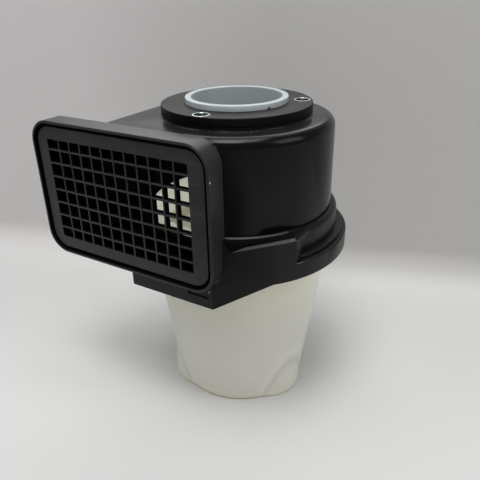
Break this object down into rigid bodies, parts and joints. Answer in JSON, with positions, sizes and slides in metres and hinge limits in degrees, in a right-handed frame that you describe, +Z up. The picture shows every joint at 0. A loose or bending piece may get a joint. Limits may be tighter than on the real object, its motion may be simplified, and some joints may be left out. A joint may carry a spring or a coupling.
{
  "type": "cyclone air precleaner",
  "caption": "Cyclone air precleaner: round black housing with a wide tangential grille inlet, a white outlet tube on top and a twist-off translucent dust cup that it stands on.",
  "frame": {"origin": "on the cyclone's axis, on the face of the cup that it stands on", "axes": "+Z up along the cyclone's axis; -Y out of the inlet; X along the inlet's long side"},
  "size_m": [0.178, 0.1408, 0.202],
  "materials": {
    "black_moulding": "satin moulded black plastic",
    "white_tube": "smooth white plastic",
    "cup_plastic": "milky translucent plastic, slightly yellow",
    "seal_rubber": "dull black rubber",
    "zinc_steel": "bright plated steel"
  },
  "bodies": {
    "head": {"body_shell": "black_moulding", "grille_panel": "black_moulding", "grille_seal": "seal_rubber", "grille_screws": "zinc_steel", "outlet_flange": "black_moulding", "flange_gasket": "seal_rubber", "flange_inserts": "zinc_steel", "flange_screws": "zinc_steel", "outlet_tube": "white_tube", "tube_clip": "zinc_steel", "tube_seal": "seal_rubber", "collar": "black_moulding", "body_seal": "seal_rubber"},
    "cup": {"dust_cup": "cup_plastic", "cup_seal": "seal_rubber"}
  },
  "joints": [
    {"name": "cup_twist", "type": "hinge", "parent": "head", "child": "cup", "pos_m": [0, 0, 0.112], "axis": [0, 0, 1], "range_deg": [0, 30]}
  ]
}
